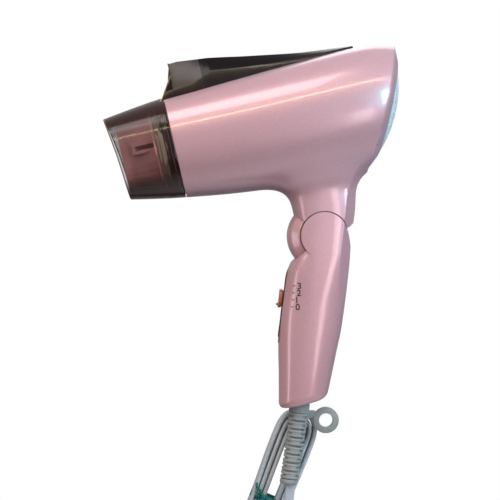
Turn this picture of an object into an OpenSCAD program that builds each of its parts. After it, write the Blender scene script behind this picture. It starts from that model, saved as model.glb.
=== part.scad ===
// Folding travel hair dryer: ion hood on top, swivelling pull-off nozzle, four-step slide switch, captive cord.
// Frame: air flows along X and leaves at -X, +Z is up, Y is across. The origin is in the middle of the grip.

/* [Barrel] */
// Half height of the barrel at the outlet
front_h = 34.5; // [34:0.5:35.5]
// How much wider than high the barrel is at the rear
rear_wide = 1.04; // [1:0.01:1.06]
// Wall of the pink mouldings
wall = 2; // [1.8:0.1:2.2]

/* [Nozzle] */
// Half height of the nozzle's mouth
mouth_h = 27.7; // [26:0.1:29]
// Half width of the nozzle's mouth
mouth_w = 25; // [22:0.5:27]
// Depth of the scoop in the mouth's sides
mouth_scoop = 1.5; // [1:0.5:3]

/* [Intake] */
// Lean of the rear face from the vertical
rear_lean = 24.3; // [22:0.1:26]
// Radius of the intake dome
dome_r = 31.8; // [30:0.1:32.5]
// Height of the intake dome
dome_rise = 6.5; // [5:0.5:8]

/* [Handle] */
// Lean of the handle forward from the vertical
rake = 19.5; // [18.5:0.5:20.5]
// Half width of the handle at the fold
grip_w = 18.8; // [18.4:0.1:19.2]
// Radius of the round cheeks at the fold
cheek_r = 15.7; // [15:0.1:16]

/* [Fan] */
// Number of fan blades
blade_count = 7; // [5:1:9]
// Radius of the fan
fan_r = 29.4; // [28:0.1:29.6]

/* [Switch] */
// Travel of the switch from off to its top step
switch_travel = 14.1; // [12:0.1:15]

/* [Cord] */
// Width of the flat twin cord
cord_w = 6.6; // [6:0.1:7]
// Thickness of the flat twin cord
cord_t = 3.4; // [3:0.1:3.8]
// Ribs on the cord guard
guard_ribs = 16; // [12:1:18]
// Hole of the hanging ring, half its diameter
hang_r = 4.7; // [4.2:0.1:5]

/* [Hidden] */
$fn = 48;
fold_x = 19.5;
fold_z = 51.5;
big = 300;
gap = 0.3;
// The air path's axis and the outlet plane, from the fold axis
air_z = 80.85;
outlet_x = -84;
round_pts = 44;
soft_n = 2.35;
grip_n = 2.6;
// Fold: the front seam and the hub that turns inside the shoulder
seam_deg = 205.5;
hub_deg = 131;
hub_r = 23.8;
lug_r = 14;
lug_w = 12.1;
shaft_r = 1.15;
cheek_in = 12.5;
axle_r = 5;
// Rear face
rear_at = [61.2, 0, 74.4];
rim_back = -4.5;
// Handle
handle_end = -107.8;
handle_in_w = grip_w - 2;
guard_f = 2.5;
guard_end = -169.5;
guard_r1 = 6.8;
guard_r2 = 6.3;
// Switch positions along the handle and its face
plate_t = -50.2;
plate_len = 51.8;
knob_t = -45.3;

function spow(v, e) = sign(v) * pow(abs(v), e);
function mix(a, b, t) = a + (b - a) * t;
function slope(t, i) = let (a = max(i - 1, 0), b = min(i + 1, len(t) - 1)) (t[b][1] - t[a][1]) / (t[b][0] - t[a][0]);
function span(t, x, i = 0) = (i >= len(t) - 2 || x < t[i + 1][0]) ? i : span(t, x, i + 1);
// A smooth curve through a short table of [place, value]
function curve(t, x) = let (
        c = max(t[0][0], min(t[len(t) - 1][0], x)),
        i = span(t, c),
        d = t[i + 1][0] - t[i][0],
        u = (c - t[i][0]) / d
    ) t[i][1] * (2 * pow(u, 3) - 3 * pow(u, 2) + 1) + slope(t, i) * d * (pow(u, 3) - 2 * pow(u, 2) + u)
        + t[i + 1][1] * (3 * pow(u, 2) - 2 * pow(u, 3)) + slope(t, i + 1) * d * (pow(u, 3) - pow(u, 2));
function oval(hw, hh, n, m) = [for (i = [0:m - 1]) let (a = 360 * (i + 0.5) / m)
        [hw * spow(cos(a), 2 / n), hh * spow(sin(a), 2 / n)]];
function steps(a, b, n) = [for (i = [0:n]) mix(a, b, i / n)];

// Barrel lines, from the fold axis: its top, its bottom and its width over its height
top_line = [[-84, 115.35], [-56, 116.4], [-28, 117.6], [0, 118.6], [30, 119.5], [48, 119.6], [62, 118.8], [74, 116], [86, 110]];
low_line = [[-84, 46.35], [-56, 42.3], [-28, 39.4], [0, 38.2], [30, 37.8], [48, 38.4], [62, 41], [86, 50]];
wide_line = [[-84, 1], [-40, 1.01], [20, rear_wide], [86, rear_wide]];
function barrel_ring(x, inset) = let (
        top = curve(top_line, x) + (front_h - 34.5),
        low = curve(low_line, x) - (front_h - 34.5),
        hh = (top - low) / 2 - inset,
        hw = (top - low) / 2 * curve(wide_line, x) - inset
    ) [for (p = oval(hw, hh, soft_n, round_pts)) [x, p[0], (top + low) / 2 + p[1]]];
// Neck lines by height over the fold axis
neck_front = [[-2, -15.6], [18, -15.6], [30, -15.8], [34, -17.4], [38, -21.5], [42, -29], [46, -38]];
neck_back = [[-6, 18.4], [3.4, 21.8], [11.7, 25], [21.6, 27.9], [30.6, 31.6], [37.8, 37.4], [46, 46]];
neck_wide = [[-6, grip_w], [18, grip_w], [28, grip_w + 0.4], [34, grip_w + 2], [40, grip_w + 6.5], [46, grip_w + 13]];
neck_square = [[-6, 3.6], [18, 3.4], [30, 2.8], [46, 2.4]];
function neck_ring(z, inset) = let (
        a = curve(neck_front, z) + inset,
        b = curve(neck_back, z) - inset,
        w = curve(neck_wide, z) - inset
    ) [for (p = oval((b - a) / 2, w, curve(neck_square, z), round_pts)) [(a + b) / 2 + p[0], p[1], z]];
// Handle lines by place along its axis: how far its front and back are from that axis, and its half width
grip_front = [[-130, 15.3], [-112, 17.1], [-96, 19], [-80, 21.1], [-60, 22.9], [-40, 22.3], [-26, 20.9], [-18, 18.4], [-12, 15.6], [8, 15.6]];
grip_back = [[-130, 13], [-107, 15.3], [-92, 16.8], [-77, 18.2], [-61, 19.7], [-32, 20.2], [-6, 19.3], [2, 17.4], [8, 15.2]];
grip_wide = [[-130, 14.4], [-112, 15.3], [-90, 16.4], [-60, 17.6], [-24, grip_w], [8, grip_w]];
grip_square = [[-130, 2.6], [-45, grip_n], [-22, 3.3], [-8, 3.7], [8, 3.8]];
function grip_ring(t, inset, wide_inset) = let (
        f = curve(grip_front, t) - inset,
        b = curve(grip_back, t) - inset,
        w = curve(grip_wide, t) - wide_inset
    ) [for (p = oval((f + b) / 2, w, curve(grip_square, t), round_pts)) [(b - f) / 2 + p[0], p[1], t]];
function nozzle_half(x, mouth, back) = mix(back, mouth, pow((outlet_x - x) / 43, 1.15));

// A closed solid through rings of points
module loft(rings) {
    n = len(rings[0]);
    m = len(rings);
    pts = [for (r = rings) each r];
    sides = [for (j = [0:m - 2], i = [0:n - 1]) each
        [[j * n + i, (j + 1) * n + i, (j + 1) * n + (i + 1) % n],
            [j * n + i, (j + 1) * n + (i + 1) % n, j * n + (i + 1) % n]]];
    polyhedron(pts, concat([[for (i = [0:n - 1]) i]], [[for (i = [n - 1:-1:0]) (m - 1) * n + i]], sides), convexity = 8);
}
// One mesh from several mouldings
module moulded() resize([0, 0, 0]) children();
module at_fold() translate([fold_x, 0, fold_z]) children();
module at_rear() at_fold() translate(rear_at) rotate([0, rear_lean, 0]) children();
module on_air(x) at_fold() translate([x, 0, air_z]) rotate([0, 90, 0]) children();
// Handle axes: local X to its back, local Z up along it
module on_grip(t = 0, f = 0) at_fold() rotate([0, rake, 0]) translate([-f, 0, t]) children();
module across(r, w) rotate([90, 0, 0]) cylinder(r = r, h = w, center = true);
module tube(ro, ri, len) rotate_extrude() translate([ri, 0]) square([ro - ri, len]);
module half(side) translate([-big, side > 0 ? 0.02 : -big, -big]) cube([2 * big, big - 0.02, 2 * big]);
module plan(pts, w) rotate([90, 0, 0]) linear_extrude(w, center = true) polygon(pts);

// The wedge over the seam that holds the head, and the one under it that holds the handle
module head_zone(front, drop = 0)
    at_fold() plan([[0, 0], [15.6, 0 + drop], [80, 40 + drop], [80, 160], [-160, 160],
        [160 * cos(front), 160 * sin(front)]], 60);
module grip_zone()
    at_fold() plan([[0, 0], [200 * cos(seam_deg + 0.7), 200 * sin(seam_deg + 0.7)], [-160, -200], [120, -200],
        [120, 64], [16, -0.3]], 60);
module barrel_body(inset, x0 = outlet_x, x1 = 86, n = 12)
    at_fold() loft([for (x = steps(x0, x1, n)) barrel_ring(x, inset)]);
module neck_body(inset, z0, z1 = 46, n = 11)
    at_fold() loft([for (z = steps(z0, z1, n)) neck_ring(z, inset)]);
// The hub's half width at each radius, and its smooth drum
hub_line = [[0, 14.6], [16.5, 14], [18, 13.2], [20, 12], [21.8, 10.8], [23, 9.6], [hub_r, 8.4]];
function hub_side(grow, s) = [for (p = hub_line) [p[0] + (p[0] > 0 ? grow : 0), s * (p[1] + grow)]];
function back_to_front(v) = [for (i = [len(v) - 1:-1:0]) v[i]];
module hub_drum(grow = 0) at_fold() rotate([90, 0, 0]) rotate_extrude()
    polygon(concat(hub_side(grow, -1), back_to_front(hub_side(grow, 1))));
module hub_zone() at_fold() plan([[0, 0], [60 * cos(hub_deg - 30), 60 * sin(hub_deg - 30)], [-60, 60], [-60, -60],
    [60 * cos(seam_deg + 8), 60 * sin(seam_deg + 8)]], 60);
module rear_space(back) at_rear() translate([back, -big, -big]) cube(2 * big);

module head_outer() {
    barrel_body(0);
    intersection() {
        neck_body(0, -4);
        head_zone(hub_deg, 0.1);
    }
    intersection() {
        hub_drum();
        hub_zone();
    }
}
module head_void() {
    barrel_body(wall, outlet_x - 1, 86, 8);
    neck_body(wall, 17, 46, 7);
    at_fold() intersection() {
        rotate([90, 0, 0]) rotate_extrude() translate([8.7, -9.4]) square([12.8, 18.8]);
        plan([[0, 0], [60 * cos(hub_deg - 80), 60 * sin(hub_deg - 80)], [-60, 60], [-60, -60],
            [60 * cos(seam_deg + 2), 60 * sin(seam_deg + 2)]], 60);
    }
}
screw_spots = [[-40, 48.2], [21, 26]];
module head_screw_holes() at_fold() for (s = screw_spots) translate([s[0], 0, s[1]]) {
    across(1.25, 26);
    translate([0, 16.4, 0]) across(2.7, 29);
}
module head_half(side) moulded() intersection() {
    half(side);
    difference() {
        union() {
            difference() {
                head_outer();
                rear_space(rim_back);
                // Round seats of the cheeks
                at_fold() for (s = [-1, 1]) translate([0, s * (lug_w + 50), 0]) across(cheek_r + 0.35, 100);
            }
            at_fold() across(lug_r, 2 * lug_w - 0.2);
        }
        difference() {
            head_void();
            at_fold() for (s = screw_spots) translate([s[0], 0, s[1]]) across(3.2, 60);
        }
        at_fold() difference() {
            across(12, 2 * lug_w - 4.4);
            across(8.3, 2 * lug_w);
        }
        at_fold() across(6.6, 2 * big);
        head_screw_holes();
        // Slot for the ion holder, under the hood
        at_fold() translate([-63, -6, 108]) cube([16, 12, 14]);
    }
}
module head_shell_left() color("pink") head_half(-1);
module head_shell_right() color("pink") head_half(1);

module rear_rim() color("pink") moulded() intersection() {
    difference() {
        barrel_body(0, 20);
        at_rear() translate([-20, 0, 0]) rotate([0, 90, 0]) cylinder(r = dome_r + 0.2, h = 40);
        difference() {
            barrel_body(wall + 1.6, 20);
            rear_space(-2);
        }
    }
    at_rear() translate([rim_back + 0.05, 0, 0.9]) rotate([0, 90, 0]) cylinder(r1 = 43.6, r2 = 32.9, h = 5, $fn = 72);
}
// Dome mesh with rows of short slots
dome_ball = (dome_r * dome_r + dome_rise * dome_rise) / (2 * dome_rise);
slot_rows = 6;
dome_arc = [for (a = steps(0, asin((dome_r - 0.1) / dome_ball), 8)) [sin(a), cos(a)]];
module intake_mesh() color("white") at_rear() difference() {
    rotate([0, 90, 0]) rotate_extrude() polygon(concat(
        [for (p = dome_arc) [dome_ball * p[0], dome_rise - dome_ball + dome_ball * p[1]]],
        [[dome_r - 0.1, -2.6], [dome_r - 2.2, -2.6], [dome_r - 2.2, -1.4]],
        [for (i = [len(dome_arc) - 2:-1:0]) [(dome_ball - 1.3) * dome_arc[i][0], dome_rise - dome_ball + (dome_ball - 1.3) * dome_arc[i][1]]]));
    for (j = [-slot_rows:slot_rows], i = [-4:4]) let (v = j * 4.4, u = i * 7.2 + (j % 2) * 3.6)
        if (norm([u, v]) < dome_r - 4.5) translate([-4, u - 2.5, v - 1.1]) cube([16, 5, 2.2]);
}
module filter_screen() color("gray") at_rear() translate([-5.4, 0, 0]) rotate([0, 90, 0]) {
    tube(31.4, 29.6, 1.6);
    for (i = [-4:4]) translate([i * 6 - 0.3, -sqrt(900 - pow(i * 6, 2)), 0.4]) cube([0.6, 2 * sqrt(900 - pow(i * 6, 2)), 0.8]);
    for (i = [-4:4]) translate([-sqrt(900 - pow(i * 6, 2)), i * 6 - 0.3, 0.4]) cube([2 * sqrt(900 - pow(i * 6, 2)), 0.6, 0.8]);
}
module finger_guard() color("dimgray") on_air(41.6) {
    tube(31.9, 29.8, 1.6);
    tube(20.6, 19.6, 1.6);
    cylinder(r = 6, h = 1.6);
    for (i = [0:5]) rotate([0, 0, 60 * i + 30]) translate([5, -0.5, 0.2]) cube([25.6, 1, 1.2]);
}
module fan_duct() color("ivory") {
    on_air(4) tube(32, 30, 37.4);
    on_air(4) tube(15.4, 13.6, 24);
    on_air(5) tube(13.6, 4.2, 1.5);
    for (i = [0:8]) on_air(8) rotate([0, 0, 40 * i]) translate([15, -0.7, 0]) cube([15.6, 1.4, 16]);
}
module motor() color("silver") difference() {
    union() {
        on_air(6.5) cylinder(r = 13.5, h = 21);
        on_air(2.5) cylinder(r = 4, h = 5);
    }
    on_air(21) cylinder(r = shaft_r + 0.05, h = 8);
}
module motor_shaft() color("lightgray") on_air(21.2) cylinder(r = shaft_r, h = 19.8);
module impeller() color("dimgray") on_air(30.5) difference() {
    union() {
        cylinder(r = 11.5, h = 10.6);
        for (i = [0:blade_count - 1]) rotate([0, 0, i * 360 / blade_count]) translate([fan_r / 2 + 5.2, 0, 5.5])
            rotate([38, 0, 0]) cube([fan_r - 11, 1.4, 11.4], center = true);
    }
    translate([0, 0, -1]) cylinder(r = shaft_r + 0.02, h = 13);
}
module heater_cross() color("tan") on_air(-72) {
    translate([-20.5, -0.4, 0]) cube([41, 0.8, 66]);
    translate([-0.4, 0.4, 0]) cube([0.8, 20.1, 66]);
    translate([-0.4, -20.5, 0]) cube([0.8, 20.1, 66]);
}
module heater_coils() color("silver") for (i = [0:9]) on_air(-66 + 5 * i)
    rotate_extrude($fn = 48) translate([21.7, 0]) circle(r = 0.7, $fn = 8);
module heat_sleeve() color("wheat") on_air(-74) tube(26.4, 25.8, 70);
module thermostat() color("black") on_air(-13.5) translate([6, 0.6, 0]) cube([10, 5, 6]);
module thermal_fuse() color("white") on_air(-13) translate([-11, 2.2, 0]) cylinder(r = 1.5, h = 8, $fn = 24);
module outlet_grille() color("dimgray") on_air(-88) {
    tube(29.3, 27.6, 3);
    tube(15, 14, 3);
    for (i = [0:7]) rotate([0, 0, 45 * i]) translate([14.5, -0.5, 0]) cube([13.4, 1, 3]);
    for (i = [0:3]) rotate([0, 0, 45 * i]) translate([-14.2, -0.5, 0]) cube([28.4, 1, 3]);
}
collar_r = 31;
module outlet_collar() color("tan") on_air(-95) rotate_extrude(convexity = 6)
    polygon([[29.4, 0], [collar_r + 0.6, 0], [collar_r + 0.6, 1.6], [collar_r, 1.6], [collar_r, 5.4],
        [collar_r + 0.9, 5.4], [collar_r + 0.9, 15], [32.1, 15], [32.1, 18], [29.4, 18]]);
module swivel_ring() color("tan") on_air(-93.1) tube(32.2, collar_r + 0.06, 2.8);

function nozzle_ring(x, inset, wi = 0) = let (
        hh = nozzle_half(x, mouth_h, 34.3) - inset,
        hw = nozzle_half(x, mouth_w, 34.3) - inset,
        k = (outlet_x - x) / 43
    ) [for (p = oval(hw, hh, mix(soft_n, 2.6, k), round_pts)) [x, p[0], air_z + 1.4 * k + p[1]]];
// The mouth leans with a slope of 0.108, and its sides are scooped by a wide round cut
module mouth_cut(r) at_fold() translate([-124.2 + mouth_scoop - 0.994 * r, 0, 82.3 - 0.107 * r])
    across(r, 2 * big, $fn = 240);
mouth_r = (mouth_h * mouth_h + mouth_scoop * mouth_scoop) / (2 * mouth_scoop);
module mouth_end() at_fold() plan([[-200, 0], [-119.6, 0], [-119.6, 40], [-130.4, 140], [-200, 140]], 200);
module nozzle_shell() color("saddlebrown") moulded() difference() {
    at_fold() loft([for (x = steps(-131, outlet_x - gap, 8)) nozzle_ring(x, 0)]);
    at_fold() loft([for (x = steps(-132, -95, 6)) nozzle_ring(x, 1.6)]);
    on_air(-96) cylinder(r = 32.65, h = 14, $fn = 72);
    on_air(-98) cylinder(r = 30.2, h = 4);
    mouth_end();
    mouth_cut(mouth_r);
}
function duct_ring(x, inset) = let (
        k = (-96 - x) / 26,
        r = mix(28.2, 23.5, k) - inset,
        w = mix(28.2, 17, k) - inset
    ) [for (p = oval(w, r, mix(2.05, 3, k), 36)) [x, p[0], air_z + 1.2 * k + p[1]]];
module nozzle_duct() color("pink") moulded() difference() {
    union() {
        at_fold() loft([for (x = steps(-120, -95.4, 5)) duct_ring(x, 0)]);
        at_fold() for (s = [-1, 1]) translate([-112, s * 23.2 - 3.2, air_z - 1]) cube([14, 6.4, 8]);
        on_air(-97.2) cylinder(r = 30.6, h = 1.8);
    }
    at_fold() loft([for (x = steps(-121, -94, 5)) duct_ring(x, 1.4)]);
    at_fold() for (s = [-1, 1]) translate([-110, s * 24.5 - 3, air_z + 1.2]) cube([13, 6, 3]);
    on_air(-96.9) cylinder(r = 26.8, h = 3);
}

// Ion hood: flat facets over the barrel's top, open at the front
hood_top = [[-84, 135.5], [-70, 134.6], [-60, 133.6], [-48, 132.6], [-28, 128.9], [11, 122.6], [34, 120.7], [48, 119.7]];
hood_fold = [[-84, 116.5], [-63, 118], [-50, 123.6], [-28, 121.4], [-6, 119.4], [20, 118.6], [48, 118.4]];
hood_side = [[-84, 16], [-63, 16.5], [-50, 16], [-28, 16], [11, 15], [34, 12.5], [44, 9], [48, 6]];
hood_flat = [[-84, 12], [-60, 11.5], [-48, 10.5], [-28, 10], [11, 9], [34, 7.5], [44, 5.4], [48, 4]];
function hood_ring(x, inset) = let (
        t = lookup(x, hood_top) - inset,
        m = lookup(x, hood_fold) - inset * 0.7,
        s = lookup(x, hood_side) - inset,
        f = lookup(x, hood_flat) - inset
    ) [[x, s, 100], [x, s, m], [x, f, t], [x, -f, t], [x, -s, m], [x, -s, 100]];
module top_cover() color("sienna") moulded() difference() {
    at_fold() loft([for (x = [-83.4, -70, -63, -50, -28, -6, 11, 34, 44, 48]) hood_ring(x, 0)]);
    barrel_body(-0.05, -95);
    at_fold() loft([for (x = [-90, -70, -63, -50, -28, -6, 11, 30]) hood_ring(x, 1.6)]);
    at_fold() plan([[-120, 100], [-83.6, 115], [-70.4, 136.5], [-70.4, 160], [-120, 160]], 120);
}
module ion_module() color("white") at_fold() translate([-46, -12, 107.8]) cube([34, 24, 5.4]);
module ion_needle() color("silver") at_fold() {
    translate([-60, -4, 107.8]) cube([10, 8, 12]);
    translate([-66, 0, 118.4]) rotate([0, 90, 0]) cylinder(r = 0.5, h = 6, $fn = 16);
}
bush_r = axle_r + 0.06;
module hinge_bushes() color("wheat") at_fold() for (s = [-1, 1]) translate([0, s * 9, 0]) rotate([90, 0, 0])
    translate([0, 0, -3]) tube(6.5, bush_r, 6);
// A screw lying along Y with its head at +Y
module screw(r, head_r, len) rotate([90, 0, 0]) {
    cylinder(r = r, h = len);
    cylinder(r = head_r, h = 1.8);
}
module head_screws() color("silver") at_fold() for (s = screw_spots) translate([s[0], 3.8, s[1]]) screw(1.2, 2.5, 16);

module grip_outer() intersection() {
    on_grip() loft([for (t = steps(-130, 8, 14)) grip_ring(t, 0, 0)]);
    grip_zone();
    at_fold() translate([-big, -big, handle_end]) cube(2 * big);
}
module grip_void() intersection() {
    on_grip() loft([for (t = steps(-129, 10, 12)) grip_ring(t, 2, 2)]);
    at_fold() translate([-big, -big, handle_end + 3]) cube(2 * big);
}
grip_spots = [[-46, -12], [-92, -9.5]];
plate_w = 7.4;
function face_f(t) = curve(grip_front, t);
// Round cheek, flush with the handle's sides
module cheek() intersection() {
    at_fold() rotate([0, 1.7, 0]) across(cheek_r, 2 * big, $fn = 64);
    on_grip(-19) linear_extrude(38) polygon(oval(21.4, grip_w - 0.04, 3.7, 50));
}
module hub_path() intersection() {
    hub_drum(0.4);
    at_fold() plan([[0, 0], [-90, -36], [-60, -80], [12.5, -60]], 60);
}
module handle_half(side) moulded() intersection() {
    half(side);
    difference() {
        union() {
            difference() {
                grip_outer();
                grip_void();
                hub_path();
                at_fold() across(cheek_r - 0.2, 2 * big);
                at_fold() across(14.5, 2 * lug_w + 0.7);
            }
            difference() {
                cheek();
                at_fold() across(cheek_r + 1, 2 * cheek_in);
            }
            // Screw bosses
            intersection() {
                for (s = grip_spots) on_grip(s[0], s[1]) across(3.1, 40);
                on_grip() loft([for (t = steps(-116, -20, 6)) grip_ring(t, 1, 1)]);
            }
        }
        at_fold() across(axle_r + 0.02, 2 * 16.4);
        for (s = grip_spots) on_grip(s[0], s[1]) {
            across(1.25, 26);
            translate([0, 15.4, 0]) across(2.7, 25);
        }
        on_grip(-125, guard_f) cylinder(r = 5.1, h = 20);
        on_grip(plate_t - plate_len / 2, 0) translate([-40, -plate_w, 0]) cube([40, 2 * plate_w, plate_len]);
    }
}
module handle_shell_left() color("pink") handle_half(-1);
module handle_shell_right() color("pink") handle_half(1);
module hinge_axle() color("silver") at_fold() rotate([90, 0, 0]) translate([0, 0, -16.2]) tube(axle_r, 3.6, 32.4);
module detent_spring() color("silver") at_fold() rotate([0, 50, 0]) translate([14.6, -5, -4]) cube([0.5, 10, 8]);

// Switch plate: a slightly bowed strip in the handle's front
function plate_pts(a, b) = concat([for (t = steps(plate_t + plate_len / 2 - 0.3, plate_t - plate_len / 2 + 0.3, 10)) [-face_f(t) + a, t]],
    [for (t = steps(plate_t - plate_len / 2 + 0.3, plate_t + plate_len / 2 - 0.3, 10)) [-face_f(t) + b, t]]);
slot_low = knob_t - 5;
module switch_plate() color("peru") difference() {
    on_grip() rotate([90, 0, 0]) linear_extrude(2 * plate_w - 0.3, center = true) polygon(plate_pts(0.1, 1.9));
    on_grip(slot_low, 10) translate([-20, -2.2, 0]) cube([20, 4.4, 10 + switch_travel]);
}
module switch_slider() color("sienna") on_grip(knob_t, face_f(knob_t)) {
    translate([-2.4, -4.4, -6.4]) cube([1.8, 8.8, 12.8]);
    translate([-3.6, -4.4, -5]) cube([1.3, 8.8, 1.6]);
    translate([-0.7, -1.9, -4]) cube([11, 3.8, 8]);
}
block_low = knob_t - 7.7;
module switch_block() color("black") on_grip(block_low, 13.2) translate([0, -6, 0]) difference() {
    cube([11, 12, 28]);
    translate([-1, 3.4, 2]) cube([5, 5.2, 24.6]);
}
module switch_board() color("green") on_grip(block_low - 14, 1.9) translate([0, -9, 0]) cube([1.4, 18, 42]);
module cord_clamp() color("dimgray") on_grip(-103, guard_f) difference() {
    translate([-7, -9, 0]) cube([14, 18, 7]);
    translate([-3.6, -2.1, -1]) cube([7.2, 4.2, 9]);
}
function guard_r(k) = mix(guard_r1, guard_r2, k);
guard_pitch = 2.9;
module strain_relief() color("gray") {
    difference() {
        union() {
            on_grip(guard_end, guard_f) {
                cylinder(r = 5, h = 60, $fn = 40);
                cylinder(r = guard_r2, h = 4, $fn = 40);
                for (i = [0:guard_ribs - 1]) translate([0, 0, 5 + i * guard_pitch * 15 / (guard_ribs - 1)])
                    cylinder(r = guard_r(1 - i / guard_ribs), h = 1.7, $fn = 40);
            }
            // Collar, level with the handle's end
            difference() {
                on_grip(-120, guard_f) cylinder(r = guard_r1, h = 12, $fn = 40);
                at_fold() translate([-big, -big, handle_end - 0.05]) cube(2 * big);
            }
        }
        on_grip(guard_end, guard_f) translate([-cord_w / 2 - 0.1, -cord_t / 2 - 0.1, -1])
            cube([cord_w + 0.2, cord_t + 0.2, 64]);
    }
    // Hanging ring on an arm behind the guard
    at_fold() difference() {
        union() {
            translate([-26, 0, -122.5]) across(8.8, 4.6);
            translate([-44, -2.3, -119.4]) cube([14, 4.6, 6]);
        }
        translate([-26, 0, -122.5]) across(hang_r, 20);
        on_grip_local() cylinder(r = 5.1, h = 80, center = true, $fn = 40);
    }
}
module on_grip_local() rotate([0, rake, 0]) translate([-guard_f, 0, -140]) children();
module handle_screws() color("silver") for (s = grip_spots) on_grip(s[0], s[1]) translate([0, 4.8, 0]) screw(1.2, 2.5, 14);

function crm(a, b, c, d, t) = 0.5 * (2 * b + (c - a) * t + (2 * a - 5 * b + 4 * c - d) * t * t
    + (3 * b - a - 3 * c + d) * t * t * t);
function smooth_path(p, k) = let (n = len(p)) concat([for (i = [0:n - 2], j = [0:k - 1])
        crm(p[max(i - 1, 0)], p[i], p[i + 1], p[min(i + 2, n - 1)], j / k)], [p[n - 1]]);
function unit(v) = v / norm(v);
// A tube of oval section w by t; its width lies across Y
module flat_tube(p, w, t, m = 8) {
    n = len(p);
    loft([for (i = [0:n - 1]) let (
            d = unit(p[min(i + 1, n - 1)] - p[max(i - 1, 0)]),
            a = unit(cross([0, 1, 0], d)),
            b = cross(d, a)
        ) [for (q = oval(w / 2, t / 2, 2.4, m)) p[i] + a * q[0] + b * q[1]]]);
}
module handle_leads() color("red") for (s = [-1, 1])
    flat_tube(smooth_path([[-16 + 3 * s, s * 6, -36], [-13 + 3 * s, s * 7, -20], [-9 + 1.5 * s, s * 5, -6], [-5.8, s * 3, 3.9]], 5), 1.8, 1.8);
// The cord's route, in mm from the origin: guard to hank, and hank to plug
lead_route = [[-38.6, 0, -105], [-45, 0, -123], [-52, 1, -140], [-59.5, 3.5, -155], [-68, 6.5, -166], [-79, 9, -170.5],
    [-89, 10.8, -167], [-94.4, 11.5, -158]];
tail_route = [[-66, 18.4, -155], [-76, 18.4, -170], [-85, 18, -186], [-90.5, 17.3, -199], [-92, 17, -212]];
hank_top = [-18, 15, -62];
hank_len = 124;
hank_lean = 34.5;
hank_w = 30;
hank_t = 13.4;
plug_at = [-92, 17, -210];
module cord_lead() color("silver") flat_tube(smooth_path(lead_route, 5), cord_w, cord_t);
module cord_tail() color("silver") flat_tube(smooth_path(tail_route, 6), cord_w, cord_t);
// Local X along the hank from its top end
module on_hank() translate(hank_top) rotate([0, 90 + hank_lean, 0]) children();
hank_waist = 4;
tie_at = 0.54;
hank_line = concat(
    [for (a = [90:15:270]) [hank_w / 2 + hank_w / 2 * cos(a), hank_w / 2 * sin(a)]],
    [[hank_len * (tie_at - 0.15), -hank_w / 2], [hank_len * tie_at, -hank_w / 2 + hank_waist], [hank_len * (tie_at + 0.15), -hank_w / 2]],
    [for (a = [-90:15:90]) [hank_len - hank_w / 2 + hank_w / 2 * cos(a), hank_w / 2 * sin(a)]],
    [[hank_len * (tie_at + 0.15), hank_w / 2], [hank_len * tie_at, hank_w / 2 - hank_waist], [hank_len * (tie_at - 0.15), hank_w / 2]]);
module cord_hank() color("silver") on_hank() rotate([90, 0, 0]) linear_extrude(hank_t, center = true) polygon(hank_line);
module cord_tie() color("teal") on_hank() translate([hank_len * tie_at - 2.5, -hank_t / 2 - 0.8, -hank_w / 2 + 2.4]) difference() {
    cube([5, hank_t + 1.6, hank_w - 4.8]);
    translate([-1, 0.8, 1.2]) cube([7, hank_t, hank_w - 7.2]);
}
module plug_body() color("silver") translate(plug_at) {
    translate([0, 0, -12]) cylinder(r1 = 7, r2 = 4.6, h = 12, $fn = 40);
    translate([-12, -7.5, -30]) cube([24, 15, 18.2]);
}
module plug_pins() color("gold") translate(plug_at) for (s = [-1, 1])
    translate([s * 6.35 - 0.75, -3.1, -47]) cube([1.5, 6.2, 18]);

head_shell_left();
head_shell_right();
rear_rim();
intake_mesh();
filter_screen();
finger_guard();
fan_duct();
motor();
motor_shaft();
impeller();
heater_cross();
heater_coils();
heat_sleeve();
thermostat();
thermal_fuse();
outlet_grille();
outlet_collar();
top_cover();
ion_module();
ion_needle();
hinge_bushes();
head_screws();
swivel_ring();
nozzle_shell();
nozzle_duct();
handle_shell_left();
handle_shell_right();
hinge_axle();
detent_spring();
switch_plate();
switch_slider();
switch_block();
switch_board();
cord_clamp();
strain_relief();
handle_screws();
handle_leads();
cord_lead();
cord_hank();
cord_tie();
cord_tail();
plug_body();
plug_pins();
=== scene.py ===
"""Folding travel hair dryer: looks, camera and light.

Lengths in the tables are in millimetres, as in part.scad.
"""

import math

import bmesh
import bpy
import numpy as np
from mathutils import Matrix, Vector


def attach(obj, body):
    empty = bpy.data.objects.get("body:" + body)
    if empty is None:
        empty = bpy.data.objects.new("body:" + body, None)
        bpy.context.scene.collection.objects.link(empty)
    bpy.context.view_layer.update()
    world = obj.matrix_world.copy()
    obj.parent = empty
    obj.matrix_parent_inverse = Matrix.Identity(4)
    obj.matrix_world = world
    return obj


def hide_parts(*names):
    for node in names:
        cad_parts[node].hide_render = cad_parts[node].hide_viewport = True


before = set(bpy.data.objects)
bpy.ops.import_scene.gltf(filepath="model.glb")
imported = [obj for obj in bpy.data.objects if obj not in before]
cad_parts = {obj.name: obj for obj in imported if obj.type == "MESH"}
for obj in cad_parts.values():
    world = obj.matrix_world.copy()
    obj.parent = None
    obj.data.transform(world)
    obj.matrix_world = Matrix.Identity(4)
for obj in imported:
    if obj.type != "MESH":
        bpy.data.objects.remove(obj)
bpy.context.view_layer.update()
MM = 0.001

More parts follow.
